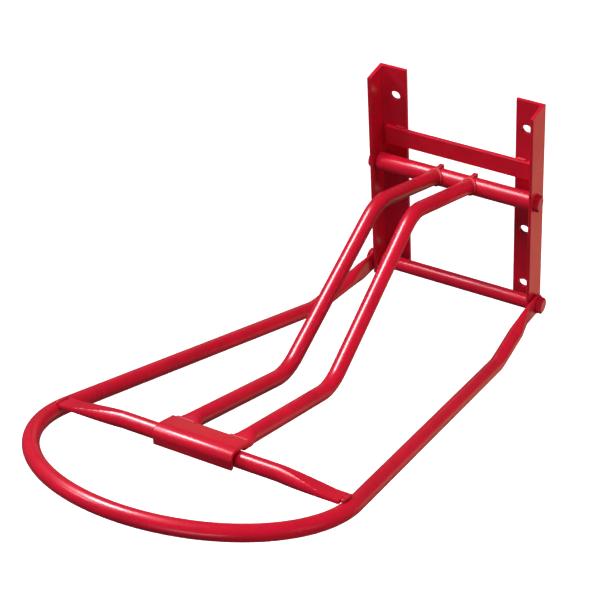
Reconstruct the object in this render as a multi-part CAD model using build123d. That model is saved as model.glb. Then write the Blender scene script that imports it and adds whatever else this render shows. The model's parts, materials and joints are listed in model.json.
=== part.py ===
# A folding rack that is screwed to a wall. Two angle uprights carry a D-shaped tube loop that turns
# on the lower pivot bolts, and a pair of bent struts that turns on the upper ones. The plate on the
# struts' outer end hooks over the loop's cross tube and holds the loop up.
#
# Millimetres. X runs along the wall, -Y points out from the wall, +Z is up. Heights are counted from
# the bottom of the uprights until write() moves a piece into the part's own frame, whose origin is
# the centre of the four corner screw holes, on the wall plane.
from build123d import *
from math import asin, atan2, copysign, cos, pi, radians, sin, tan
import os

# Stock
TUBE_RADIUS = 12.7 / 2
TUBE_WALL = 1.6
ANGLE_LEG = 25.4
PLATE = 3.2  # the angle, the flat bar and the hook plate are all rolled or cut from this thickness

# Uprights
OUTER_WIDTH = 152.0
UPRIGHT_HEIGHT = 212.0
ROOT_RADIUS = 2.4
TOE_RADIUS = 1.6
SCREW_HOLE_RADIUS = 4.5
SCREW_HOLE_INSET = 15.0
SCREW_HOLE_HEIGHTS = (18.0, 78.0, 184.0)
LEG_INNER_X = OUTER_WIDTH / 2 - PLATE
WALL_LEG_EDGE_X = OUTER_WIDTH / 2 - ANGLE_LEG

# Flat bar across the uprights
BAR_BOTTOM, BAR_TOP = 134.0, 152.0
BAR_END_X = LEG_INNER_X - 2.6

# Pivot bolts, washers and crossbars
PIVOT_Y = -15.0
UPPER_PIVOT_Z = 120.0
LOWER_PIVOT_Z = 9.0
BOLT_RADIUS = 4.0
BOLT_REACH = 18.0
TAPPED_DEPTH = 20.0
HEAD_ACROSS_FLATS = 13.0
UPPER_HEAD_HEIGHT = 3.0
LOWER_HEAD_HEIGHT = 4.0
HEAD_CHAMFER = 0.8
RUNNING_GAP = 0.05
CLEARANCE_HOLE_RADIUS = 4.2
WASHER_RADIUS = 8.0
WASHER_THICKNESS = 1.0
SIDE_PLAY = 0.2
UPPER_BAR_RADIUS = 15.9 / 2
LOWER_BAR_RADIUS = 12.7 / 2
CROSSBAR_END_GAP = 0.3
EDGE_CHAMFER = 0.5
CUT_PAST = 1.0  # how far a drill or cutter runs past a face

# Loop: two pinched ends on the lower bolts, a bend, and a tilted D whose front is one arc
LOOP_TILT = radians(23.7)
LOOP_FLARE = radians(5.33)
LOOP_ARC_RADIUS = 119.5
LOOP_ARC_CENTRE = 355.4
BEND_Y, BEND_Z = -118.0, 25.5
BEND_RADIUS = 60.0
PINCH_HALF_WIDTH = 9.2
PINCH_HALF_THICKNESS = 1.6
PINCH_SQUARENESS = 6.0
HALF_PINCHED = (7.8, 4.3, 2.6)  # half width, half thickness and squareness half way to the flat
TONGUE_LENGTH = 22.0
TONGUE_LAP = 0.2
TONGUE_TO_ROUND = 30.0
TONGUE_X = OUTER_WIDTH / 2 + WASHER_THICKNESS + SIDE_PLAY + PINCH_HALF_THICKNESS

# Cross tube: its lips end on the loop's inner shoulder where the arc is widest, a little below its axis
LAP_GAP = 0.1
CROSS_ALONG_LOOP = LOOP_ARC_CENTRE + 1.0
CROSS_ABOVE_LOOP = 9.0
CROSS_LIP_HEIGHT = 6.5
CROSS_ROUND_HALF = 64.0
CROSS_FLAT_FROM = 105.0
CROSS_HALF_LENGTH = 115.0
CROSS_LIP_HALF_WIDTH = 8.4

# Struts: centre line as (distance from the middle plane, y, z), from the upper crossbar outwards
STRUT_STATIONS = ((16.0, PIVOT_Y, UPPER_PIVOT_Z), (16.0, -128.8, 171.5), (19.5, -284.6, 110.5))
STRUT_END_X = 22.2
STRUT_BEND_RADIUS = 38.0
STRUT_ROUND_END = 31.0  # these three are measured back from the cross tube's axis
STRUT_FLAT_FROM = 18.0
STRUT_LIP_END = 7.5

# Hook plate, in its own section: out from the cross tube's axis and up
HOOK_WIDTH = 64.0
HOOK_TUBE_GAP = 0.7
HOOK_TAIL_END = -16.5
HOOK_TOP_SLOPE = radians(5.0)
HOOK_TOP_REACH = 12.0
HOOK_FRONT = 12.0
HOOK_FRONT_BOTTOM = -1.2
HOOK_NOSE_RADIUS = 6.0
HOOK_SHOULDER_RADIUS = 14.0

# Welds
BEAD_RADIUS = 1.6
BEAD_END_INSET = 1.0
BEAD_END_ROUND = 1.3
BAR_BEAD = 2.0
BAR_BEAD_INSET = 1.5
BAR_TOP_BEAD_LENGTH = 9.0
CROSS_BEAD_IN = 2.7  # from the loop's centre line towards the middle
COLLAR_BASE, COLLAR_TIP = 8.8, 6.6
COLLAR_FROM, COLLAR_TO = 4.0, 13.0
LUG_HALF_WIDTH = 2.2
LUG_RIM = UPPER_BAR_RADIUS + 1.1
LUG_TIP = (11.6, 37.0)  # distance and angle from the crossbar's axis
LUG_START = 14.0
LUG_ANGLES = (60.0, 80.0, 100.0, 125.0)

OUTLINE_POINTS = 24
SIDES = {"left": -1, "right": 1}
ORIGIN = Vector(0, 0, (SCREW_HOLE_HEIGHTS[0] + SCREW_HOLE_HEIGHTS[-1]) / 2)


def x_cylinder(radius, x_from, x_to, y, z):
    """A round bar or hole along X between two stations."""
    start, end = min(x_from, x_to), max(x_from, x_to)
    disc = Plane(origin=(start, y, z), x_dir=(0, 1, 0), z_dir=(1, 0, 0)) * Circle(radius)
    return extrude(disc, end - start)


def section_plane(point, direction, width_direction):
    """A plane across a tube, with its x direction along the pinched tube's width."""
    return Plane(origin=point, x_dir=width_direction, z_dir=direction)


def pinched_outline(plane, half_width, half_thickness, squareness):
    """A flattened tube's section: a superellipse, which is round at squareness 2."""
    points = []
    for step in range(OUTLINE_POINTS):
        angle = 2 * pi * step / OUTLINE_POINTS
        across, up = cos(angle), sin(angle)
        points.append((
            half_width * copysign(abs(across) ** (2 / squareness), across),
            half_thickness * copysign(abs(up) ** (2 / squareness), up),
        ))
    return plane * make_face(Spline(*points, periodic=True))


def hollow_sweep(path, start_plane):
    """A tube along a path, open at both ends."""
    return sweep(start_plane * Circle(TUBE_RADIUS), path), sweep(
        start_plane * Circle(TUBE_RADIUS - TUBE_WALL), path
    )


def largest(shape):
    """The biggest solid of a cut piece, as one Solid."""
    return max(shape.solids(), key=lambda solid: solid.volume)


def write(name, shape):
    """Move a piece from the drawing's heights into the part's frame and write it."""
    solids = [solid.moved(Location(ORIGIN * -1)) for solid in shape.solids()]
    piece = solids[0] if len(solids) == 1 else Compound(children=solids)
    piece.label = name
    export_step(piece, f"parts/{name}.step")


# ---------------------------------------------------------------- bracket


def upright(side):
    """An equal angle: one leg on the wall, the other standing out at the rack's outer side."""
    outer = OUTER_WIDTH / 2
    outline = Polyline(
        (outer, 0), (outer, -ANGLE_LEG), (outer - PLATE, -ANGLE_LEG), (outer - PLATE, -PLATE),
        (outer - ANGLE_LEG, -PLATE), (outer - ANGLE_LEG, 0), close=True,
    )
    section = make_face(outline)
    root = section.vertices().sort_by_distance((outer - PLATE, -PLATE, 0))[0]
    section = fillet(root, ROOT_RADIUS)
    toes = [
        section.vertices().sort_by_distance((outer - PLATE, -ANGLE_LEG, 0))[0],
        section.vertices().sort_by_distance((outer - ANGLE_LEG, -PLATE, 0))[0],
    ]
    section = fillet(toes, TOE_RADIUS)
    leg = extrude(section, UPRIGHT_HEIGHT)
    for height in SCREW_HOLE_HEIGHTS:
        mouth = Plane(origin=(outer - SCREW_HOLE_INSET, 0, height), z_dir=(0, -1, 0))
        leg -= extrude(mouth * Circle(SCREW_HOLE_RADIUS), PLATE)
    for height, radius in (
        (UPPER_PIVOT_Z, BOLT_RADIUS + RUNNING_GAP), (LOWER_PIVOT_Z, CLEARANCE_HOLE_RADIUS),
    ):
        leg -= x_cylinder(radius, LEG_INNER_X - CUT_PAST, outer + CUT_PAST, PIVOT_Y, height)
    return leg if side > 0 else mirror(leg, about=Plane.YZ)


def stiffener_bar():
    """A flat bar laid on the front of both wall legs."""
    bar = Box(
        2 * BAR_END_X, PLATE, BAR_TOP - BAR_BOTTOM, align=(Align.CENTER, Align.MAX, Align.MIN)
    ).moved(Location((0, -PLATE, BAR_BOTTOM)))
    return chamfer(bar.faces().sort_by(Axis.Y)[0].edges(), EDGE_CHAMFER)


def bar_weld(side, leg):
    """Fillet beads down the bar's end and on its top edge, onto the upright's wall leg."""
    front, size = -PLATE, BAR_BEAD
    down = make_face(Polyline(
        (BAR_END_X, front), (BAR_END_X + size, front), (BAR_END_X, front - size), close=True
    ))
    down = extrude(down, BAR_TOP - BAR_BOTTOM - 2 * BAR_BEAD_INSET)
    down = down.moved(Location((0, 0, BAR_BOTTOM + BAR_BEAD_INSET)))
    side_view = Plane(
        origin=(WALL_LEG_EDGE_X + BAR_BEAD_INSET, front, BAR_TOP), x_dir=(0, -1, 0), z_dir=(-1, 0, 0)
    )
    along = make_face(Polyline((0, 0), (size, 0), (0, size), close=True))
    along = extrude(side_view * along, -BAR_TOP_BEAD_LENGTH)
    beads = down + along
    return (beads if side > 0 else mirror(beads, about=Plane.YZ)) - leg


def crossbar(radius, height):
    """A solid round bar between the outer legs, tapped at both ends."""
    half = LEG_INNER_X - CROSSBAR_END_GAP
    bar = x_cylinder(radius, -half, half, PIVOT_Y, height)
    bar = chamfer(bar.edges().filter_by(GeomType.CIRCLE), EDGE_CHAMFER)
    for side in SIDES.values():
        bar -= x_cylinder(
            BOLT_RADIUS, side * (half - TAPPED_DEPTH), side * (half + CUT_PAST), PIVOT_Y, height
        )
    return bar


def pivot_bolt(side, head_x, head_height, height):
    """A hex bolt from its head inwards into the crossbar's tapped end."""
    across_corners = HEAD_ACROSS_FLATS / 2 / cos(pi / 6)
    flats = Plane(origin=(head_x, PIVOT_Y, height), x_dir=(0, 1, 0), z_dir=(1, 0, 0))
    head = extrude(flats * RegularPolygon(across_corners, 6), head_height)
    round_blank = x_cylinder(across_corners, head_x, head_x + head_height, PIVOT_Y, height)
    crown = round_blank.edges().filter_by(GeomType.CIRCLE).sort_by(Axis.X)[-1]
    head &= chamfer(crown, HEAD_CHAMFER, 2 * HEAD_CHAMFER)
    tip_x = LEG_INNER_X - CROSSBAR_END_GAP - BOLT_REACH
    shank = x_cylinder(BOLT_RADIUS, tip_x, head_x, PIVOT_Y, height)
    bolt = head + shank
    return bolt if side > 0 else mirror(bolt, about=Plane.YZ)


def washer(side, x_from, height):
    """A plain washer round a pivot bolt."""
    x_to = x_from + WASHER_THICKNESS
    ring = x_cylinder(WASHER_RADIUS, x_from, x_to, PIVOT_Y, height)
    ring -= x_cylinder(CLEARANCE_HOLE_RADIUS, x_from - CUT_PAST, x_to + CUT_PAST, PIVOT_Y, height)
    return ring if side > 0 else mirror(ring, about=Plane.YZ)


# ---------------------------------------------------------------- loop


def on_loop(x, along, above=0.0):
    """A point across the rack, along the loop's tilted plane from its bend, and above the plane."""
    y = BEND_Y - along * cos(LOOP_TILT) + above * sin(LOOP_TILT)
    z = BEND_Z + along * sin(LOOP_TILT) + above * cos(LOOP_TILT)
    return Vector(x, y, z)


ARC_END_X = LOOP_ARC_RADIUS * cos(LOOP_FLARE)
ARC_END_ALONG = LOOP_ARC_CENTRE - LOOP_ARC_RADIUS * sin(LOOP_FLARE)
BEND = on_loop(ARC_END_X - ARC_END_ALONG * tan(LOOP_FLARE), 0)
LOWER_PIVOT = Vector(TONGUE_X, PIVOT_Y, LOWER_PIVOT_Z)
TONGUE_DIRECTION = Vector(0, BEND_Y - PIVOT_Y, BEND_Z - LOWER_PIVOT_Z).normalized()
TONGUE_END = LOWER_PIVOT + TONGUE_DIRECTION * TONGUE_LENGTH
TO_BEND = (BEND - TONGUE_END).normalized()
ROUND_START = TONGUE_END + TO_BEND * TONGUE_TO_ROUND


def tongue():
    """The right pinched end: flat round the bolt hole, opening out to the round tube."""
    upward = Vector(0, TONGUE_DIRECTION.Z, -TONGUE_DIRECTION.Y)
    flat = section_plane(TONGUE_END, TONGUE_DIRECTION, upward)
    half_way = section_plane(TONGUE_END + TO_BEND * (TONGUE_TO_ROUND / 2), TO_BEND, upward)
    full = section_plane(ROUND_START, TO_BEND, upward)
    opening = loft([
        pinched_outline(flat, PINCH_HALF_WIDTH, PINCH_HALF_THICKNESS, PINCH_SQUARENESS),
        pinched_outline(half_way, *HALF_PINCHED),
        full * Circle(TUBE_RADIUS),
    ])
    face = Plane(origin=LOWER_PIVOT, x_dir=TONGUE_DIRECTION, z_dir=(1, 0, 0))
    blade = extrude(
        face * (
            Circle(PINCH_HALF_WIDTH)
            + Pos(TONGUE_LENGTH / 2, 0)
            * Rectangle(TONGUE_LENGTH + 2 * TONGUE_LAP, 2 * PINCH_HALF_WIDTH - TONGUE_LAP)
        ),
        PINCH_HALF_THICKNESS, both=True,
    )
    reach = PINCH_HALF_THICKNESS + CUT_PAST
    hole = x_cylinder(
        BOLT_RADIUS + RUNNING_GAP, TONGUE_X - reach, TONGUE_X + reach, PIVOT_Y, LOWER_PIVOT_Z
    )
    return opening + blade - hole


def loop_tube():
    """One bent tube from pinched end to pinched end, hollow where it is round."""
    corner = on_loop(ARC_END_X, ARC_END_ALONG)
    right = FilletPolyline(ROUND_START, BEND, corner, radius=BEND_RADIUS)
    left = mirror(right, about=Plane.YZ)
    front = ThreePointArc(
        corner, on_loop(0, LOOP_ARC_CENTRE + LOOP_ARC_RADIUS), on_loop(-ARC_END_X, ARC_END_ALONG)
    )
    path = Wire([*right.edges(), *front.edges(), *left.edges()])
    outside, inside = hollow_sweep(path, Plane(origin=ROUND_START, z_dir=TO_BEND))
    end = tongue()
    return outside + end + mirror(end, about=Plane.YZ) - inside


CROSS_AXIS = on_loop(0, CROSS_ALONG_LOOP, CROSS_ABOVE_LOOP)


def cross_tube():
    """A tube across the loop, its two ends pinched to flat lips that lie on the loop."""
    width_direction = Vector(0, -cos(LOOP_TILT), sin(LOOP_TILT))

    def station(x, above=CROSS_ABOVE_LOOP):
        return section_plane(on_loop(x, CROSS_ALONG_LOOP, above), (1, 0, 0), width_direction)

    half_way = (CROSS_ROUND_HALF + CROSS_FLAT_FROM) / 2
    lip = pinched_outline(
        station(CROSS_FLAT_FROM, CROSS_LIP_HEIGHT),
        CROSS_LIP_HALF_WIDTH, PINCH_HALF_THICKNESS, PINCH_SQUARENESS,
    )
    opening = loft([
        station(CROSS_ROUND_HALF) * Circle(TUBE_RADIUS),
        pinched_outline(
            station(half_way, (CROSS_ABOVE_LOOP + CROSS_LIP_HEIGHT) / 2), *HALF_PINCHED
        ),
        lip,
    ])
    end = opening + extrude(lip, CROSS_HALF_LENGTH - CROSS_FLAT_FROM)
    y, z = CROSS_AXIS.Y, CROSS_AXIS.Z
    barrel = x_cylinder(TUBE_RADIUS, -CROSS_ROUND_HALF, CROSS_ROUND_HALF, y, z)
    bore = x_cylinder(TUBE_RADIUS - TUBE_WALL, -CROSS_ROUND_HALF, CROSS_ROUND_HALF, y, z)
    return barrel + end + mirror(end, about=Plane.YZ) - bore


def cross_weld(side):
    """A bead along the lip's end, in the corner between the lip and the loop."""
    clear = TUBE_RADIUS + BEAD_RADIUS + 2 * LAP_GAP
    height = (clear**2 - CROSS_BEAD_IN**2) ** 0.5
    x = side * (LOOP_ARC_RADIUS - CROSS_BEAD_IN)
    half = CROSS_LIP_HALF_WIDTH - BEAD_END_INSET
    start = on_loop(x, CROSS_ALONG_LOOP - half, height)
    end = on_loop(x, CROSS_ALONG_LOOP + half, height)
    bead = extrude(Plane(origin=start, z_dir=end - start) * Circle(BEAD_RADIUS), 2 * half)
    return fillet(bead.edges().filter_by(GeomType.CIRCLE), BEAD_END_ROUND)


# ---------------------------------------------------------------- strut assembly

LAST_BEND = Vector(0, *STRUT_STATIONS[-1][1:])
TO_CROSS = CROSS_AXIS - LAST_BEND
HOOK_TAIL_DISTANCE = TUBE_RADIUS + HOOK_TUBE_GAP + PLATE
STRUT_ABOVE_CROSS = TUBE_RADIUS + HOOK_TUBE_GAP - PINCH_HALF_THICKNESS - LAP_GAP
TAIL_SLOPE = atan2(TO_CROSS.Z, -TO_CROSS.Y) + asin(STRUT_ABOVE_CROSS / TO_CROSS.length)
OUTWARD_UP = Vector(0, -cos(TAIL_SLOPE), sin(TAIL_SLOPE))
LAST_RUN = TO_CROSS.dot(OUTWARD_UP)


def on_last_run(side, behind):
    """A point of the strut's last straight run, a given distance behind the cross tube's axis."""
    share = (LAST_RUN - behind) / (LAST_RUN - STRUT_LIP_END)
    x = STRUT_STATIONS[-1][0] + (STRUT_END_X - STRUT_STATIONS[-1][0]) * share
    return LAST_BEND + OUTWARD_UP * (LAST_RUN - behind) + Vector(side * x, 0, 0)


def strut_points(side):
    """The corners of the strut's round part, from the crossbar outwards."""
    stations = [Vector(side * x, y, z) for x, y, z in STRUT_STATIONS]
    return [*stations, on_last_run(side, STRUT_ROUND_END)]


def strut_lip(side):
    """The strut's outer end, pinched to a flat lip that lies under the hook plate."""
    round_end, flat, tip = (
        on_last_run(side, behind) for behind in (STRUT_ROUND_END, STRUT_FLAT_FROM, STRUT_LIP_END)
    )
    direction = (tip - round_end).normalized()
    lip = pinched_outline(
        section_plane(flat, direction, (1, 0, 0)),
        PINCH_HALF_WIDTH, PINCH_HALF_THICKNESS, PINCH_SQUARENESS,
    )
    opening = loft([
        section_plane(round_end, direction, (1, 0, 0)) * Circle(TUBE_RADIUS),
        pinched_outline(
            section_plane((round_end + flat) * 0.5, direction, (1, 0, 0)), *HALF_PINCHED
        ),
        lip,
    ])
    return opening + extrude(lip, (tip - flat).length)


def strut_tube(side):
    """A bent tube, coped to sit on the upper crossbar and pinched at its outer end."""
    points = strut_points(side)
    path = FilletPolyline(*points, radius=STRUT_BEND_RADIUS)
    outside, inside = hollow_sweep(path, Plane(origin=points[0], z_dir=points[1] - points[0]))
    reach = 2 * TUBE_RADIUS
    saddle = x_cylinder(
        UPPER_BAR_RADIUS, points[0].X - reach, points[0].X + reach, PIVOT_Y, UPPER_PIVOT_Z
    )
    return largest(outside + strut_lip(side) - inside - saddle)


def strut_weld(side, bar, strut):
    """The weld that runs round the cope, and the tube's upper lip pressed over the crossbar."""
    foot, knee = strut_points(side)[:2]
    direction = (knee - foot).normalized()
    collar = loft([
        Plane(origin=foot + direction * COLLAR_FROM, z_dir=direction) * Circle(COLLAR_BASE),
        Plane(origin=foot + direction * COLLAR_TO, z_dir=direction) * Circle(COLLAR_TIP),
    ])
    side_view = Plane(
        origin=(foot.X - LUG_HALF_WIDTH, PIVOT_Y, UPPER_PIVOT_Z), x_dir=(0, 1, 0), z_dir=(1, 0, 0)
    )
    around = [(LUG_RIM, LUG_START), LUG_TIP, *((LUG_RIM, angle) for angle in LUG_ANGLES)]
    corners = [(reach * cos(radians(angle)), reach * sin(radians(angle))) for reach, angle in around]
    lug = extrude(side_view * make_face(Polyline((0, 0), *corners, close=True)), 2 * LUG_HALF_WIDTH)
    core = Plane(origin=foot, z_dir=direction) * Circle(TUBE_RADIUS)
    return largest(collar + lug - bar - extrude(core, 2 * COLLAR_TO) - strut)


def hook_outline(thickness_in):
    """The hook plate's bent surface line, a given distance inside its outer face."""
    tail = HOOK_TAIL_DISTANCE - thickness_in
    top = HOOK_TOP_REACH - thickness_in
    front = HOOK_FRONT - thickness_in

    def tail_height(out):
        return (tail + out * sin(TAIL_SLOPE)) / cos(TAIL_SLOPE)

    def top_height(out):
        return (top + out * sin(HOOK_TOP_SLOPE)) / cos(HOOK_TOP_SLOPE)

    shoulder = (top / cos(HOOK_TOP_SLOPE) - tail / cos(TAIL_SLOPE)) / (
        tan(TAIL_SLOPE) - tan(HOOK_TOP_SLOPE)
    )
    tail_end = HOOK_TAIL_END + thickness_in * sin(TAIL_SLOPE)
    return [
        (tail_end, tail_height(tail_end)),
        (shoulder, tail_height(shoulder)),
        (front, top_height(front)),
        (front, HOOK_FRONT_BOTTOM),
    ]


def hook_plate():
    """A plate bent into a downward hook, open below and behind."""
    section = Plane(
        origin=(-HOOK_WIDTH / 2, CROSS_AXIS.Y, CROSS_AXIS.Z), x_dir=(0, -1, 0), z_dir=(1, 0, 0)
    )
    # The plane's own y direction points down here, so heights change sign.
    outer = [(out, -up) for out, up in hook_outline(0)]
    inner = [(out, -up) for out, up in hook_outline(PLATE)]
    face = make_face(Polyline(*outer, *reversed(inner), close=True))

    def corner(point, radius, shape):
        vertex = shape.vertices().sort_by_distance((point[0], point[1], 0))[0]
        return fillet(vertex, radius)

    face = corner(outer[2], HOOK_NOSE_RADIUS, face)
    face = corner(inner[2], HOOK_NOSE_RADIUS - PLATE, face)
    face = corner(outer[1], HOOK_SHOULDER_RADIUS, face)
    face = corner(inner[1], HOOK_SHOULDER_RADIUS - PLATE, face)
    return extrude(section * face, HOOK_WIDTH)


def hook_weld(side):
    """A bead across the strut's lip, along the plate's rear edge."""
    out, up = hook_outline(PLATE)[0]
    rear = Vector(0, CROSS_AXIS.Y - out, CROSS_AXIS.Z + up) - CROSS_AXIS
    behind = BEAD_RADIUS + LAP_GAP - rear.dot(OUTWARD_UP)
    centre = on_last_run(side, behind)
    lift = PINCH_HALF_THICKNESS + BEAD_RADIUS + LAP_GAP
    centre += Vector(0, sin(TAIL_SLOPE), cos(TAIL_SLOPE)) * lift
    half = PINCH_HALF_WIDTH - BEAD_END_INSET
    bead = x_cylinder(BEAD_RADIUS, centre.X - half, centre.X + half, centre.Y, centre.Z)
    return fillet(bead.edges().filter_by(GeomType.CIRCLE), BEAD_END_ROUND)


def main():
    os.makedirs("parts", exist_ok=True)
    write("stiffener_bar", stiffener_bar())
    upper_bar = crossbar(UPPER_BAR_RADIUS, UPPER_PIVOT_Z)
    write("upper_crossbar", upper_bar)
    write("lower_crossbar", crossbar(LOWER_BAR_RADIUS, LOWER_PIVOT_Z))
    write("loop_tube", loop_tube())
    write("cross_tube", cross_tube())
    write("hook_plate", hook_plate())

    upper_washer_x = OUTER_WIDTH / 2 + SIDE_PLAY
    outer_washer_x = TONGUE_X + PINCH_HALF_THICKNESS + SIDE_PLAY
    for name, side in SIDES.items():
        leg = upright(side)
        write(f"{name}_upright", leg)
        write(f"bar_weld_{name}", bar_weld(side, leg))
        write(f"upper_washer_{name}", washer(side, upper_washer_x, UPPER_PIVOT_Z))
        write(
            f"upper_pivot_bolt_{name}",
            pivot_bolt(
                side, upper_washer_x + WASHER_THICKNESS, UPPER_HEAD_HEIGHT, UPPER_PIVOT_Z
            ),
        )
        write(f"spacer_washer_{name}", washer(side, OUTER_WIDTH / 2, LOWER_PIVOT_Z))
        write(f"lower_washer_{name}", washer(side, outer_washer_x, LOWER_PIVOT_Z))
        write(
            f"lower_pivot_bolt_{name}",
            pivot_bolt(
                side, outer_washer_x + WASHER_THICKNESS, LOWER_HEAD_HEIGHT, LOWER_PIVOT_Z
            ),
        )
        strut = strut_tube(side)
        write(f"strut_tube_{name}", strut)
        write(f"strut_weld_{name}", strut_weld(side, upper_bar, strut))
        write(f"hook_weld_{name}", hook_weld(side))
        write(f"cross_weld_{name}", cross_weld(side))


main()
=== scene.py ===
"""The looks of the folding wall rack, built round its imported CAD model.

Metres, in the CAD's frame: X along the wall, -Y out from the wall, +Z up, and the origin at the
centre of the four corner screw holes, on the wall plane. The loop, the cross tube, the strut tubes,
the hook plate and the welds are drawn again here as fine meshes at the CAD's own places. The angles,
the flat bar, the crossbars, the bolts and the washers are the CAD nodes with better materials.
"""
import json
from math import asin, atan2, cos, copysign, pi, radians, sin, sqrt, tan

import bmesh
import bpy
from mathutils import Matrix, Vector


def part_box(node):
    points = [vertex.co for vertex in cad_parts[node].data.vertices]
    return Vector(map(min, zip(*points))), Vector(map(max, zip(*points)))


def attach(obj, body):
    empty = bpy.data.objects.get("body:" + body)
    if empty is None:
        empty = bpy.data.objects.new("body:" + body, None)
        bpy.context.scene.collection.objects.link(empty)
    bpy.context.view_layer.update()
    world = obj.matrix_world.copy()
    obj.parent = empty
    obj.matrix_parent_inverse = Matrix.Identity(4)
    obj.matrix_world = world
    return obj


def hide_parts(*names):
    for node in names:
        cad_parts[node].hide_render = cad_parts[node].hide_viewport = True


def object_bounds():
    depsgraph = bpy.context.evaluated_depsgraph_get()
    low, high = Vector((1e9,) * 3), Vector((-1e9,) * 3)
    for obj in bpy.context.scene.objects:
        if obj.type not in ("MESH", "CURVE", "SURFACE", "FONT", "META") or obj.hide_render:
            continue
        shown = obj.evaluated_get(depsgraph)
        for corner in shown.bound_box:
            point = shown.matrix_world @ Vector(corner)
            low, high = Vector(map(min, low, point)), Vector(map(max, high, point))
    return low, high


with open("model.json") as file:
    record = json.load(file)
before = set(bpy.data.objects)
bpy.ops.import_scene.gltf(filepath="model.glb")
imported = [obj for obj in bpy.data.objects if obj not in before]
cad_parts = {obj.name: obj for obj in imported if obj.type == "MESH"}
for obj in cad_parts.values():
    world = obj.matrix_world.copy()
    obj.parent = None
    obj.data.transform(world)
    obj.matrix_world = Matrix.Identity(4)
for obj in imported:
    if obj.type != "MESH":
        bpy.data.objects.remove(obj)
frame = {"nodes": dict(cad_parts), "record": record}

cad_low, cad_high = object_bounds()

MM = 0.001
SIDES = {"left": -1, "right": 1}
X_AXIS = Vector((1, 0, 0))

TUBE_RADIUS = 6.35 * MM
TUBE_WALL = 1.6 * MM
PLATE = 3.2 * MM
UPPER_PIVOT = Vector((0, -15, 19)) * MM
UPPER_BAR_RADIUS = 7.95 * MM


# ---------------------------------------------------------------- camera

CAMERA_PLACE = (0.6131, -1.3259, 1.1069)
CAMERA_AZIMUTH, CAMERA_PITCH, CAMERA_ROLL = radians(30.591), radians(40.032), radians(-3.775)
CAMERA_LENS, CAMERA_SENSOR, CAMERA_CLIP_END = 125.75, 36.0, 100.0


def photo_camera():
    """A long lens, a little above the rack and to its right, rolled a few degrees."""
    data = bpy.data.cameras.new("camera")
    data.sensor_width = CAMERA_SENSOR
    data.lens = CAMERA_LENS
    data.clip_end = CAMERA_CLIP_END
    camera = bpy.data.objects.new("camera", data)
    forward = Vector((
        -sin(CAMERA_AZIMUTH) * cos(CAMERA_PITCH),
        cos(CAMERA_AZIMUTH) * cos(CAMERA_PITCH),
        -sin(CAMERA_PITCH),
    ))
    right = Vector((cos(CAMERA_AZIMUTH), sin(CAMERA_AZIMUTH), 0))
    up = right.cross(forward)
    rolled_right = right * cos(CAMERA_ROLL) + up * sin(CAMERA_ROLL)
    rolled_up = up * cos(CAMERA_ROLL) - right * sin(CAMERA_ROLL)
    turn = Matrix((rolled_right, rolled_up, -forward)).transposed().to_4x4()
    camera.matrix_world = Matrix.Translation(CAMERA_PLACE) @ turn
    bpy.context.scene.collection.objects.link(camera)
    bpy.context.scene.camera = camera


# ---------------------------------------------------------------- materials

ENAMELS = {  # colour, gloss, strength of the orange peel and of the mill marks under it
    "tube_enamel": ((0.66, 0.008, 0.032), 0.26, 0.0, 0.0),
    "plate_enamel": ((0.68, 0.009, 0.032), 0.27, 0.05, 0.10),
    "hardware_enamel": ((0.54, 0.008, 0.028), 0.26, 0.05, 0.04),
    "weld_enamel": ((0.60, 0.012, 0.028), 0.54, 0.10, 0.22),
}
NOISE_TURN = (0.6, 0.45, 0.35)  # so that no noise cell lies along a tube
NOISE_LOW, NOISE_HIGH = 0.3, 0.7
CLOUD_SCALE, CLOUD_DARK, CLOUD_LIGHT = 38.0, 0.86, 1.06
GLOSS_SCALE, GLOSS_SPREAD = 24.0, 0.05
MILL_SCALE, MILL_DEPTH = 55.0, 0.6 * MM
PEEL_SCALE, PEEL_DEPTH = 240.0, 0.3 * MM


def noise_node(tree, coordinates, scale, detail, roughness=0.5):
    """A noise texture on the object's own coordinates."""
    node = tree.nodes.new("ShaderNodeTexNoise")
    node.inputs["Scale"].default_value = scale
    node.inputs["Detail"].default_value = detail
    node.inputs["Roughness"].default_value = roughness
    tree.links.new(coordinates, node.inputs["Vector"])
    return node.outputs["Fac"]


def ramp_node(tree, source, stops):
    """A colour ramp over a 0 to 1 value."""
    ramp = tree.nodes.new("ShaderNodeValToRGB")
    for element, (position, colour) in zip(ramp.color_ramp.elements, stops):
        element.position = position
        element.color = (*colour, 1.0)
    tree.links.new(source, ramp.inputs["Fac"])
    return ramp.outputs["Color"]


def range_node(tree, source, low, high):
    """The noise's usual range spread over another range of values."""
    spread = tree.nodes.new("ShaderNodeMapRange")
    spread.inputs["From Min"].default_value = NOISE_LOW
    spread.inputs["From Max"].default_value = NOISE_HIGH
    spread.inputs["To Min"].default_value = low
    spread.inputs["To Max"].default_value = high
    tree.links.new(source, spread.inputs["Value"])
    return spread.outputs["Result"]


def bump_node(tree, source, strength, distance, under=None):
    """A bump on top of another one, if there is another."""
    bump = tree.nodes.new("ShaderNodeBump")
    bump.inputs["Strength"].default_value = strength
    bump.inputs["Distance"].default_value = distance
    tree.links.new(source, bump.inputs["Height"])
    if under:
        tree.links.new(under, bump.inputs["Normal"])
    return bump.outputs["Normal"]


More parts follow.
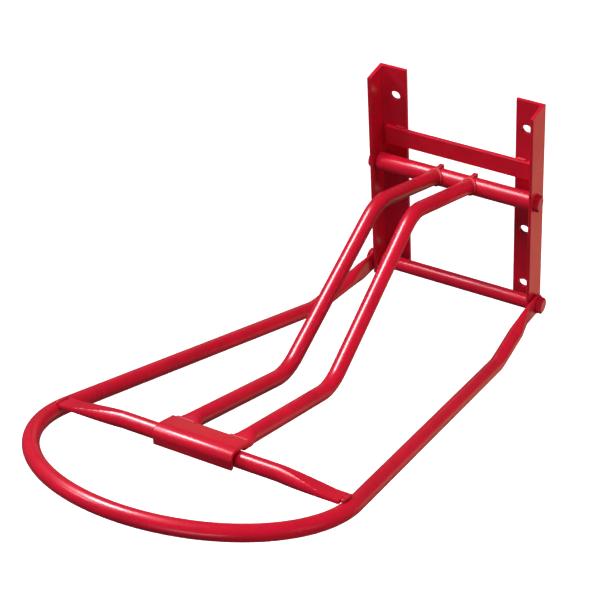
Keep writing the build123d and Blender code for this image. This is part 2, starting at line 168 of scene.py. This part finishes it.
def enamel(name, colour, gloss, peel, mill):
    """Glossy red enamel: cloudy colour, an uneven gloss, and orange peel over mill marks, if any."""
    material = bpy.data.materials.new(name)
    material.use_nodes = True
    tree = material.node_tree
    shader = tree.nodes["Principled BSDF"]
    turned = tree.nodes.new("ShaderNodeMapping")
    turned.inputs["Rotation"].default_value = NOISE_TURN
    tree.links.new(tree.nodes.new("ShaderNodeTexCoord").outputs["Object"], turned.inputs["Vector"])
    place = turned.outputs["Vector"]

    darker = tuple(channel * CLOUD_DARK for channel in colour)
    lighter = tuple(min(1.0, channel * CLOUD_LIGHT) for channel in colour)
    clouds = noise_node(tree, place, CLOUD_SCALE, 4.0, 0.6)
    tone = ramp_node(tree, clouds, [(NOISE_LOW, darker), (NOISE_HIGH, lighter)])
    tree.links.new(tone, shader.inputs["Base Color"])

    patches = noise_node(tree, place, GLOSS_SCALE, 1.0)
    roughness = range_node(tree, patches, gloss, gloss + GLOSS_SPREAD)
    tree.links.new(roughness, shader.inputs["Roughness"])

    if mill:
        marks = noise_node(tree, place, MILL_SCALE, 2.0)
        under = bump_node(tree, marks, mill, MILL_DEPTH)
        ripple = noise_node(tree, place, PEEL_SCALE, 1.0)
        top = bump_node(tree, ripple, peel, PEEL_DEPTH, under)
        tree.links.new(top, shader.inputs["Normal"])
    shader.inputs["IOR"].default_value = 1.5
    shader.inputs["Specular IOR Level"].default_value = 0.42
    shader.inputs["Specular Tint"].default_value = (1.0, 0.66, 0.72, 1.0)
    return material


SLOT_MATERIALS = {name: enamel(name, *values) for name, values in ENAMELS.items()}


def paint_nodes():
    """Give every CAD node the enamel of its slot in the record."""
    for part in frame["record"]["subparts"]:
        node = frame["nodes"][part["node"]]
        for place in node.material_slots:
            place.material = SLOT_MATERIALS[part["material_slot"]]


# ---------------------------------------------------------------- mesh makers

RING_POINTS = 64
SOFT_ANGLE = 35.0  # edges between faces turned further than this stay sharp, in degrees
CREASE_ANGLE = 14.0
BEAD_ANGLE = 60.0


def turns(count):
    """Equal steps round a full turn."""
    return [2 * pi * step / count for step in range(count)]


def mesh_from(name, vertices, faces):
    """A mesh whose faces all look outwards."""
    mesh = bpy.data.meshes.new(name)
    mesh.from_pydata(vertices, [], faces)
    shell = bmesh.new()
    shell.from_mesh(mesh)
    if shell.calc_volume(signed=True) < 0:
        bmesh.ops.reverse_faces(shell, faces=shell.faces)
    shell.to_mesh(mesh)
    shell.free()
    return mesh


def skin(name, rings, node, body, slot_name, sharp=SOFT_ANGLE, closed=False):
    """A piece from rings of points, each joined to the next, capped at both ends unless closed."""
    count, total = len(rings[0]), len(rings)
    vertices = [point for ring in rings for point in ring]
    faces = []
    for row in range(total if closed else total - 1):
        a, b = row * count, (row + 1) % total * count
        faces += [(a + k, a + (k + 1) % count, b + (k + 1) % count, b + k) for k in range(count)]
    if not closed:
        faces += [tuple(reversed(range(count))), tuple(range((total - 1) * count, total * count))]
    mesh = mesh_from(name, vertices, faces)
    mesh.materials.append(SLOT_MATERIALS[slot_name])
    mesh.polygons.foreach_set("use_smooth", [True] * len(mesh.polygons))
    mesh.set_sharp_from_angle(angle=radians(sharp))
    piece = bpy.data.objects.new(name, mesh)
    bpy.context.scene.collection.objects.link(piece)
    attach(piece, body)
    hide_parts(node)
    return piece


def filleted(corner, before, after, radius, steps=24):
    """The points of an arc that rounds a corner between two other points."""
    back, ahead = (before - corner).normalized(), (after - corner).normalized()
    half = back.angle(ahead) / 2
    reach, turn = radius / tan(half), pi - 2 * half
    centre = corner + (back + ahead).normalized() * (radius / sin(half))
    start, end = corner + back * reach - centre, corner + ahead * reach - centre
    return [
        centre + (start * sin((1 - k / steps) * turn) + end * sin(k / steps * turn)) / sin(turn)
        for k in range(steps + 1)
    ]


def rounded(corners, radii, steps=10):
    """A closed outline with its corners rounded."""
    total = len(corners)
    points = []
    for k, (corner, radius) in enumerate(zip(corners, radii)):
        points += filleted(corner, corners[k - 1], corners[(k + 1) % total], radius, steps)
    return points


def shrunk(outline, inset):
    """A closed 2-D outline moved inwards, whichever way round it runs."""
    total = len(outline)
    area = sum(
        outline[k - 1].x * outline[k].y - outline[k].x * outline[k - 1].y for k in range(total)
    )
    points = []
    for k, point in enumerate(outline):
        along = (outline[(k + 1) % total] - outline[k - 1]).normalized()
        points.append(point + Vector((-along.y, along.x)) * copysign(inset, area))
    return points


EDGE_ROUND = 0.4 * MM
EDGE_STEPS = [  # how far in from an end, and how far inside the outline, round a small edge
    (EDGE_ROUND * (1 - cos(pi / 6 * step)), EDGE_ROUND * (1 - sin(pi / 6 * step)))
    for step in range(4)
]


def sheared_plate(name, outline, middle_x, half_width, at, node, body, slot_name):
    """A 2-D outline, out from the wall and up from a place, spread along X with rounded edges."""
    stations = [(-half_width + back, inset) for back, inset in EDGE_STEPS]
    stations += [(-x, inset) for x, inset in reversed(stations)]
    rings = [
        [Vector((middle_x + x, at.y - p.x, at.z + p.y)) for p in shrunk(outline, inset)]
        for x, inset in stations
    ]
    skin(name, rings, node, body, slot_name)


# ---------------------------------------------------------------- pinched tubes

ROUND = (TUBE_RADIUS, TUBE_RADIUS, 2.0)  # half width, half thickness, squareness
HALF_PINCHED = (7.8 * MM, 4.3 * MM, 2.6)
FLAT = (9.2 * MM, 1.6 * MM, 6.0)
FLAT_HALF_WIDTH, FLAT_HALF_THICKNESS, FLAT_SQUARENESS = FLAT


def pinched(share):
    """A tube's section between flat, at 0, and round, at 1."""
    share = max(0.0, min(1.0, share))
    first, last = (FLAT, HALF_PINCHED) if share < 0.5 else (HALF_PINCHED, ROUND)
    part = share * 2 if share < 0.5 else share * 2 - 1
    return tuple(a + (b - a) * part for a, b in zip(first, last))


def squared(value, squareness):
    """A sine or cosine pushed outwards, which makes a circle of squareness 2 squarer."""
    return copysign(abs(value) ** (2 / squareness), value)


def section_rings(stations, wide):
    """Rings round a line of (point, section), each section's width along one direction."""
    points = [point for point, _ in stations]
    directions = [(b - a).normalized() for a, b in zip(points, points[1:])]
    rings = []
    for index, (point, (half_width, half_thickness, squareness)) in enumerate(stations):
        along = sum(directions[max(0, index - 1):index + 1], Vector((0, 0, 0))).normalized()
        across = (wide - along * wide.dot(along)).normalized()
        over = along.cross(across)
        rings.append([
            point
            + across * half_width * squared(cos(angle), squareness)
            + over * half_thickness * squared(sin(angle), squareness)
            for angle in turns(RING_POINTS)
        ])
    return rings


# ---------------------------------------------------------------- loop tube

LOOP_TILT = radians(23.7)
LOOP_BEND = Vector((0, -118, -75.5)) * MM
LOOP_BEND_RADIUS = 60.0 * MM
LOOP_PIVOT = Vector((78.8, -15, -92)) * MM
LOOP_HOLE_RADIUS, LOOP_HOLE_REACH = 4.05 * MM, 4.0 * MM
LOOP_FLARE = radians(5.33)
ARC_RADIUS, ARC_CENTRE = 119.5 * MM, 355.4 * MM
TONGUE_LENGTH, TONGUE_TO_ROUND = 22.0 * MM, 30.0 * MM
TONGUE_END_ANGLES = range(88, 0, -8)
TONGUE_LEAST_WIDTH = 0.6 * MM
PINCH_STEPS, ARC_STEPS = 16, 96
DRILL_POINTS = 48


def on_loop(x, along, above):
    """A point across the rack, along the loop's tilted plane from its bend, and above the plane."""
    return LOOP_BEND + Vector((
        x,
        -along * cos(LOOP_TILT) + above * sin(LOOP_TILT),
        along * sin(LOOP_TILT) + above * cos(LOOP_TILT),
    ))


def loop_side():
    """The right side's stations: a flat tongue with a round end, a bend and a straight run."""
    arc_x = ARC_RADIUS * cos(LOOP_FLARE)
    arc_along = ARC_CENTRE - ARC_RADIUS * sin(LOOP_FLARE)
    bend = on_loop(arc_x - arc_along * tan(LOOP_FLARE), 0, 0)
    corner = on_loop(arc_x, arc_along, 0)
    forward = Vector((0, bend.y - LOOP_PIVOT.y, bend.z - LOOP_PIVOT.z)).normalized()
    tongue_end = LOOP_PIVOT + forward * TONGUE_LENGTH
    to_bend = (bend - tongue_end).normalized()
    side = []
    for angle in map(radians, TONGUE_END_ANGLES):
        half_width = max(TONGUE_LEAST_WIDTH, FLAT_HALF_WIDTH * cos(angle))
        section = (half_width, FLAT_HALF_THICKNESS, FLAT_SQUARENESS)
        side.append((LOOP_PIVOT - forward * FLAT_HALF_WIDTH * sin(angle), section))
    side.append((LOOP_PIVOT, FLAT))
    for step in range(PINCH_STEPS + 1):
        share = step / PINCH_STEPS
        side.append((tongue_end + to_bend * TONGUE_TO_ROUND * share, pinched(share)))
    side += [(point, ROUND) for point in filleted(bend, tongue_end, corner, LOOP_BEND_RADIUS)]
    side += [(bend + (corner - bend) * share, ROUND) for share in (0.35, 0.6, 0.85)]
    return side


def loop_front():
    """The stations of the D's arc, from right to left."""
    front = []
    for step in range(ARC_STEPS + 1):
        angle = -LOOP_FLARE + (pi + 2 * LOOP_FLARE) * step / ARC_STEPS
        along = ARC_CENTRE + ARC_RADIUS * sin(angle)
        front.append((on_loop(ARC_RADIUS * cos(angle), along, 0), ROUND))
    return front


def drill(piece, place, radius, reach):
    """A hole along X through a piece."""
    ring = [place + Vector((0, radius * cos(a), radius * sin(a))) for a in turns(DRILL_POINTS)]
    count, step = DRILL_POINTS, Vector((reach, 0, 0))
    vertices = [p - step for p in ring] + [p + step for p in ring]
    faces = [(k, (k + 1) % count, count + (k + 1) % count, count + k) for k in range(count)]
    faces += [tuple(reversed(range(count))), tuple(range(count, 2 * count))]
    cutter = bpy.data.objects.new("drill", mesh_from("drill", vertices, faces))
    bpy.context.scene.collection.objects.link(cutter)
    cut = piece.modifiers.new("hole", "BOOLEAN")
    cut.operation, cut.solver, cut.object = "DIFFERENCE", "MANIFOLD", cutter
    bpy.context.view_layer.update()
    evaluated = piece.evaluated_get(bpy.context.evaluated_depsgraph_get())
    drilled = bpy.data.meshes.new_from_object(evaluated)
    piece.modifiers.clear()
    piece.data = drilled
    bpy.data.objects.remove(cutter)


def loop_tube():
    """One tube from pinched and drilled end to pinched and drilled end, round the whole D."""
    right = loop_side()
    left = [(Vector((-p.x, p.y, p.z)), section) for p, section in reversed(right)]
    normal = Vector((0, sin(LOOP_TILT), cos(LOOP_TILT)))
    rings = section_rings(right + loop_front() + left, normal)
    piece = skin("loop_tube_skin", rings, "loop_tube", "loop", "tube_enamel")
    for side in SIDES.values():
        place = Vector((side * LOOP_PIVOT.x, LOOP_PIVOT.y, LOOP_PIVOT.z))
        drill(piece, place, LOOP_HOLE_RADIUS, LOOP_HOLE_REACH)


# ---------------------------------------------------------------- cross tube

CROSS_ALONG_LOOP = 356.4 * MM
CROSS_ABOVE_LOOP = 9.0 * MM
CROSS_LIP_ABOVE_LOOP = 6.5 * MM
CROSS_HALF_LENGTH = 115.0 * MM
CROSS_AXIS = on_loop(0, CROSS_ALONG_LOOP, CROSS_ABOVE_LOOP)
PINCH_FROM, PINCH_TO = 64.0 * MM, 105.0 * MM
PINCH_HALF_WIDTH, PINCH_HALF_THICKNESS = 8.4 * MM, 1.6 * MM
CREASE_STEPS = 20


def cross_ring(x, inset):
    """The cross tube's outline at one station: a round tube pressed flat between two jaws."""
    share = max(0.0, min(1.0, (abs(x) - PINCH_FROM) / (PINCH_TO - PINCH_FROM)))
    half_width = TUBE_RADIUS + (PINCH_HALF_WIDTH - TUBE_RADIUS) * share - inset
    height = CROSS_ABOVE_LOOP + (CROSS_LIP_ABOVE_LOOP - CROSS_ABOVE_LOOP) * share
    jaw = TUBE_RADIUS + (PINCH_HALF_THICKNESS - TUBE_RADIUS) * share - inset
    ring = []
    for angle in turns(RING_POINTS):
        up = max(-jaw, min(jaw, TUBE_RADIUS * sin(angle)))
        ring.append(on_loop(x, CROSS_ALONG_LOOP + half_width * cos(angle), height + up))
    return ring


def cross_tube():
    """The tube across the loop with a long V of creases towards each pinched lip."""
    length = PINCH_TO - PINCH_FROM
    right = [(CROSS_HALF_LENGTH - back, inset) for back, inset in EDGE_STEPS]
    right += [(PINCH_TO - length * step / CREASE_STEPS, 0.0) for step in range(CREASE_STEPS + 1)]
    stations = [(-x, inset) for x, inset in right] + right[::-1]
    rings = [cross_ring(x, inset) for x, inset in stations]
    skin("cross_tube_skin", rings, "cross_tube", "loop", "tube_enamel", CREASE_ANGLE)


# ---------------------------------------------------------------- struts

STRUT_FOOT_X = 16.0 * MM
STRUT_KNEE = Vector((16.0, -128.8, 70.5)) * MM
STRUT_ANKLE = Vector((19.5, -284.6, 9.5)) * MM
STRUT_END_X, STRUT_BEND_RADIUS = 22.2 * MM, 38.0 * MM
STRUT_ROUND_END, STRUT_FLAT_FROM, STRUT_LIP_END = 31.0 * MM, 18.0 * MM, 7.5 * MM
STRUT_STRAIGHT = (12.0 * MM, 20.0 * MM, 28.0 * MM)
STRUT_PINCH_STEPS = 12
BORE_RADIUS, BORE_DEPTH = TUBE_RADIUS - TUBE_WALL, 20.0 * MM
HOOK_GAP, LIP_GAP = 0.7 * MM, 0.1 * MM

STRUT_RISE = Vector((0, STRUT_KNEE.y - UPPER_PIVOT.y, STRUT_KNEE.z - UPPER_PIVOT.z)).normalized()
STRUT_OVER = STRUT_RISE.cross(X_AXIS)
TO_CROSS = CROSS_AXIS - Vector((0, STRUT_ANKLE.y, STRUT_ANKLE.z))
LIP_ABOVE_CROSS = TUBE_RADIUS + HOOK_GAP - FLAT_HALF_THICKNESS - LIP_GAP
TAIL_SLOPE = atan2(TO_CROSS.z, -TO_CROSS.y) + asin(LIP_ABOVE_CROSS / TO_CROSS.length)


def strut_foot(side):
    """Where a strut's line meets the upper crossbar's axis."""
    return UPPER_PIVOT + X_AXIS * side * STRUT_FOOT_X


def cope_point(angle, radius):
    """From the foot to where a line along the strut, at this angle and radius, meets the crossbar."""
    up = radius * sin(angle)
    rise = sqrt(UPPER_BAR_RADIUS**2 - up**2)
    return STRUT_RISE * rise + X_AXIS * radius * cos(angle) + STRUT_OVER * up


def strut_tube(name, side):
    """A coped tube with two bends and a pinched lip under the hook plate."""
    foot = strut_foot(side)
    knee, ankle = (Vector((side * p.x, p.y, p.z)) for p in (STRUT_KNEE, STRUT_ANKLE))
    outward_up = Vector((0, -cos(TAIL_SLOPE), sin(TAIL_SLOPE)))
    run = TO_CROSS.dot(outward_up)

    def on_last_run(behind):
        share = (run - behind) / (run - STRUT_LIP_END)
        x = (STRUT_END_X - STRUT_ANKLE.x) * share
        return ankle + outward_up * (run - behind) + X_AXIS * side * x

    tip = on_last_run(STRUT_LIP_END)
    line = [(foot + STRUT_RISE * rise, ROUND) for rise in STRUT_STRAIGHT]
    line += [(point, ROUND) for point in filleted(knee, foot, ankle, STRUT_BEND_RADIUS)]
    line += [(point, ROUND) for point in filleted(ankle, knee, tip, STRUT_BEND_RADIUS)]
    for step in range(STRUT_PINCH_STEPS + 1):
        share = step / STRUT_PINCH_STEPS
        behind = STRUT_ROUND_END + (STRUT_FLAT_FROM - STRUT_ROUND_END) * share
        line.append((on_last_run(behind), pinched(1 - share)))
    for back, inset in reversed(EDGE_STEPS):
        section = (FLAT_HALF_WIDTH - inset, FLAT_HALF_THICKNESS - inset, FLAT_SQUARENESS)
        line.append((on_last_run(STRUT_LIP_END + back), section))
    inner = [foot + cope_point(angle, BORE_RADIUS) for angle in turns(RING_POINTS)]
    outer = [foot + cope_point(angle, TUBE_RADIUS) for angle in turns(RING_POINTS)]
    deep = [p + STRUT_RISE * (BORE_DEPTH - (p - foot).dot(STRUT_RISE)) for p in inner]
    rings = [deep, inner, outer] + section_rings(line, X_AXIS)
    skin(f"strut_tube_skin_{name}", rings, f"strut_tube_{name}", "struts", "tube_enamel")


# ---------------------------------------------------------------- hook plate

HOOK_HALF_WIDTH = 32.0 * MM
HOOK_TAIL_DISTANCE = TUBE_RADIUS + HOOK_GAP + PLATE
HOOK_TAIL_END = -16.5 * MM
HOOK_TOP_REACH, HOOK_TOP_SLOPE = 12.0 * MM, radians(5.0)
HOOK_FRONT, HOOK_FRONT_BOTTOM = 12.0 * MM, -1.2 * MM
HOOK_NOSE_RADIUS, HOOK_SHOULDER_RADIUS = 6.0 * MM, 14.0 * MM
HOOK_CORNER_RADIUS = 2 * EDGE_ROUND


def hook_line(depth):
    """The hook plate's bent line, a given depth inside its outer face."""
    tail, top, front = HOOK_TAIL_DISTANCE - depth, HOOK_TOP_REACH - depth, HOOK_FRONT - depth

    def tail_height(out):
        return (tail + out * sin(TAIL_SLOPE)) / cos(TAIL_SLOPE)

    shoulder = (top / cos(HOOK_TOP_SLOPE) - tail / cos(TAIL_SLOPE)) / (
        tan(TAIL_SLOPE) - tan(HOOK_TOP_SLOPE)
    )
    tail_end = HOOK_TAIL_END + depth * sin(TAIL_SLOPE)
    return [
        Vector((tail_end, tail_height(tail_end))),
        Vector((shoulder, tail_height(shoulder))),
        Vector((front, (top + front * sin(HOOK_TOP_SLOPE)) / cos(HOOK_TOP_SLOPE))),
        Vector((front, HOOK_FRONT_BOTTOM)),
    ]


def hook_plate():
    """A plate bent down over the cross tube, its sheared edges rounded."""
    corners = hook_line(0) + hook_line(PLATE)[::-1]
    radii = [
        HOOK_CORNER_RADIUS, HOOK_SHOULDER_RADIUS, HOOK_NOSE_RADIUS, HOOK_CORNER_RADIUS,
        HOOK_CORNER_RADIUS, HOOK_NOSE_RADIUS - PLATE, HOOK_SHOULDER_RADIUS - PLATE, HOOK_CORNER_RADIUS,
    ]
    sheared_plate(
        "hook_plate_skin", rounded(corners, radii), 0.0, HOOK_HALF_WIDTH,
        CROSS_AXIS, "hook_plate", "struts", "plate_enamel",
    )


# ---------------------------------------------------------------- straight welds

BEAD_RADIUS, BAR_BEAD_RADIUS = 1.6 * MM, 1.5 * MM
BEAD_POINTS, RIPPLE_STEPS = 20, 8
RIPPLE_SHARE, BEAD_END_SHARE = 0.1, 0.25
HOOK_RIPPLES, CROSS_RIPPLES = 7, 6
CROSS_BEAD_X, CROSS_BEAD_IN = 116.8 * MM, 2.7 * MM
CROSS_BEAD_GAP, CROSS_BEAD_END = 0.2 * MM, 1.0 * MM
BAR_END_X, BAR_FRONT, BAR_TOP = 70.7 * MM, -3.8 * MM, 51.4 * MM
BAR_END_BEAD_LOW, BAR_END_BEAD_HIGH, BAR_END_RIPPLES = 35.0 * MM, 49.0 * MM, 8
BAR_TOP_BEAD_X, BAR_TOP_BEAD_LENGTH, BAR_TOP_RIPPLES = 52.6 * MM, 9.0 * MM, 5


def bead(name, start, end, radius, ripples, node, body):
    """A straight weld bead: a rounded rope with overlapping ripples."""
    along = (end - start).normalized()
    across = along.orthogonal().normalized()
    other = along.cross(across)
    length = (end - start).length
    rings, steps = [], ripples * RIPPLE_STEPS
    for step in range(steps + 1):
        share = step / steps
        place = share * length
        edge = min(place, length - place) / radius
        swell = sqrt(1 - (1 - edge) ** 2) if edge < 1 else 1.0
        wave = 1 - RIPPLE_SHARE + RIPPLE_SHARE * abs(cos(pi * ripples * share))
        size = radius * max(BEAD_END_SHARE, swell) * wave
        rings.append([
            start + along * place + (across * cos(a) + other * sin(a)) * size
            for a in turns(BEAD_POINTS)
        ])
    skin(name, rings, node, body, "weld_enamel", BEAD_ANGLE)


def box_ends(node):
    """The two ends of the line along X through the middle of a CAD node's box."""
    low, high = (Vector(corner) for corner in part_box(node))
    middle, reach = (low + high) / 2, Vector(((high.x - low.x) / 2, 0, 0))
    return middle - reach, middle + reach


def hook_bead(name):
    """The bead between the hook plate's rear edge and a strut's lip."""
    start, end = box_ends(f"hook_weld_{name}")
    bead(f"hook_bead_{name}", start, end, BEAD_RADIUS, HOOK_RIPPLES, f"hook_weld_{name}", "struts")


def cross_bead(name, side):
    """The bead along the end of the cross tube's lip, on top of the loop."""
    height = sqrt((TUBE_RADIUS + BEAD_RADIUS + CROSS_BEAD_GAP) ** 2 - CROSS_BEAD_IN**2)
    half = PINCH_HALF_WIDTH - CROSS_BEAD_END
    start, end = (
        on_loop(side * CROSS_BEAD_X, CROSS_ALONG_LOOP + along, height) for along in (-half, half)
    )
    bead(f"cross_bead_{name}", start, end, BEAD_RADIUS, CROSS_RIPPLES, f"cross_weld_{name}", "loop")


def bar_beads(name, side):
    """The beads down the flat bar's end and along its top edge, sunk into the corner."""
    end_x, top_x = side * BAR_END_X, side * BAR_TOP_BEAD_X
    end_line = [Vector((end_x, BAR_FRONT, z)) for z in (BAR_END_BEAD_LOW, BAR_END_BEAD_HIGH)]
    top_start = Vector((top_x, BAR_FRONT, BAR_TOP))
    top_line = [top_start, top_start + X_AXIS * side * BAR_TOP_BEAD_LENGTH]
    for place, (start, end), ripples in (
        ("end", end_line, BAR_END_RIPPLES), ("top", top_line, BAR_TOP_RIPPLES),
    ):
        bead(
            f"bar_bead_{place}_{name}", start, end,
            BAR_BEAD_RADIUS, ripples, f"bar_weld_{name}", "bracket",
        )


# ---------------------------------------------------------------- cope welds and lugs

COPE_STEPS, COPE_POINTS, COPE_HALF_STEP = 144, 16, 0.01
COPE_BEAD_RADIUS, COPE_BEAD_OUT = 1.5 * MM, 0.3 * MM
COPE_RIPPLES, COPE_RIPPLE_SHARE = 18, 0.12
LUG_RIM, LUG_TIP_REACH, LUG_INNER = 9.05 * MM, 11.6 * MM, UPPER_BAR_RADIUS + 0.05 * MM
LUG_START_ANGLE, LUG_TIP_ANGLE, LUG_RIM_ANGLE, LUG_END_ANGLE = 14, 37, 58, 112
LUG_HALF_WIDTH = 2.2 * MM


def cope_weld(name, side):
    """The bead round the strut's coped foot, where it meets the upper crossbar."""
    foot = strut_foot(side)
    rings = []
    for angle in turns(COPE_STEPS):
        outward = X_AXIS * cos(angle) + STRUT_OVER * sin(angle)
        along = (
            cope_point(angle + COPE_HALF_STEP, TUBE_RADIUS)
            - cope_point(angle - COPE_HALF_STEP, TUBE_RADIUS)
        ).normalized()
        first = (outward - along * outward.dot(along)).normalized()
        second = along.cross(first)
        centre = foot + cope_point(angle, TUBE_RADIUS) + (outward + STRUT_RISE) * COPE_BEAD_OUT
        wave = abs(cos(COPE_RIPPLES / 2 * angle))
        size = COPE_BEAD_RADIUS * (1 - COPE_RIPPLE_SHARE + COPE_RIPPLE_SHARE * wave)
        rings.append([
            centre + (first * cos(a) + second * sin(a)) * size for a in turns(COPE_POINTS)
        ])
    skin(
        f"cope_bead_{name}", rings, f"strut_weld_{name}", "struts", "weld_enamel",
        BEAD_ANGLE, closed=True,
    )


def lug(name, side):
    """The thin lip that is pressed over the crossbar and ends in a point behind it."""
    outer = [(LUG_RIM, LUG_START_ANGLE), (LUG_TIP_REACH, LUG_TIP_ANGLE)]
    outer += [(LUG_RIM, angle) for angle in range(LUG_RIM_ANGLE, LUG_END_ANGLE + 1, 6)]
    inner = [(LUG_INNER, angle) for angle in range(LUG_END_ANGLE, LUG_START_ANGLE - 1, -7)]
    outline = [
        Vector((-reach * cos(radians(angle)), reach * sin(radians(angle))))
        for reach, angle in outer + inner
    ]
    sheared_plate(
        f"lug_{name}", outline, side * STRUT_FOOT_X, LUG_HALF_WIDTH,
        UPPER_PIVOT, f"strut_weld_{name}", "struts", "weld_enamel",
    )


# ---------------------------------------------------------------- studio

FLOOR_HALF, FLOOR_BELOW_RACK = 40.0, 0.9
LIGHTS_TARGET = (0, -0.25, 0)


def softbox(name, place, target, width, height, power, colour=(1, 1, 1), reach="both"):
    """A rectangular studio light for lit colour, for shine or for both, unseen by the camera."""
    data = bpy.data.lights.new(name, "AREA")
    data.shape = "RECTANGLE"
    data.size, data.size_y = width, height
    data.energy = power
    data.color = colour
    light = bpy.data.objects.new(name, data)
    turn = (Vector(target) - Vector(place)).to_track_quat("-Z", "Y").to_matrix().to_4x4()
    light.matrix_world = Matrix.Translation(place) @ turn
    light.visible_camera = False
    light.visible_glossy = reach != "diffuse"
    light.visible_diffuse = reach != "glossy"
    bpy.context.scene.collection.objects.link(light)


def white_floor():
    """A white floor far below the rack that lights nothing and isn't mirrored in it."""
    half, height = FLOOR_HALF, cad_low[2] - FLOOR_BELOW_RACK
    mesh = bpy.data.meshes.new("floor")
    mesh.from_pydata(
        [(-half, -half, height), (half, -half, height), (half, half, height), (-half, half, height)],
        [], [(0, 1, 2, 3)],
    )
    floor = bpy.data.objects.new("floor", mesh)
    material = bpy.data.materials.new("floor")
    material.use_nodes = True
    shader = material.node_tree.nodes["Principled BSDF"]
    shader.inputs["Base Color"].default_value = (0.9, 0.9, 0.9, 1)
    shader.inputs["Roughness"].default_value = 0.9
    shader.inputs["Emission Color"].default_value = (1, 1, 1, 1)
    shader.inputs["Emission Strength"].default_value = 0.95
    mesh.materials.append(material)
    bpy.context.scene.collection.objects.link(floor)
    floor.visible_glossy = False
    floor.visible_diffuse = False


def lights():
    """A key at the upper left, soft fills, two warm lights behind, two strips that only shine."""
    softbox("key", (-1.35, -0.95, 1.55), LIGHTS_TARGET, 0.5, 0.5, 16)
    softbox("sky", (-0.1, -0.5, 2.4), LIGHTS_TARGET, 1.2, 1.2, 44, reach="diffuse")
    softbox("front", (0.4, -2.2, 0.4), LIGHTS_TARGET, 1.0, 0.8, 4.5, reach="diffuse")
    softbox("warm_side", (2.2, 0.1, 0.2), LIGHTS_TARGET, 0.8, 1.2, 20, (1.0, 0.8, 0.7), "diffuse")
    softbox("warm_right", (0.66, 0.95, -0.84), (0.08, 0, 0), 0.7, 0.6, 1.35, (1.0, 0.45, 0.26))
    softbox("warm_left", (-0.58, 0.98, -0.05), (0, -0.42, 0.08), 0.5, 0.35, 0.35, (1.0, 0.40, 0.22))
    softbox("upper_strip", (-0.98, -0.06, 1.94), (0, -0.2, 0.05), 0.75, 0.6, 116, reach="glossy")
    softbox("lower_strip", (0.9, -2.0, 0.25), LIGHTS_TARGET, 0.9, 0.2, 6, reach="glossy")


def surroundings():
    """A dim grey world, and plain colours."""
    world = bpy.data.worlds.new("world")
    world.use_nodes = True
    background = world.node_tree.nodes["Background"]
    background.inputs["Color"].default_value = (0.5, 0.5, 0.52, 1)
    background.inputs["Strength"].default_value = 0.16
    bpy.context.scene.world = world
    bpy.context.scene.view_settings.view_transform = "Standard"


# ---------------------------------------------------------------- assembly

photo_camera()
white_floor()
lights()
surroundings()
paint_nodes()
loop_tube()
cross_tube()
hook_plate()
for name, side in SIDES.items():
    hook_bead(name)
    cross_bead(name, side)
for name, side in SIDES.items():
    bar_beads(name, side)
    strut_tube(name, side)
    cope_weld(name, side)
    lug(name, side)
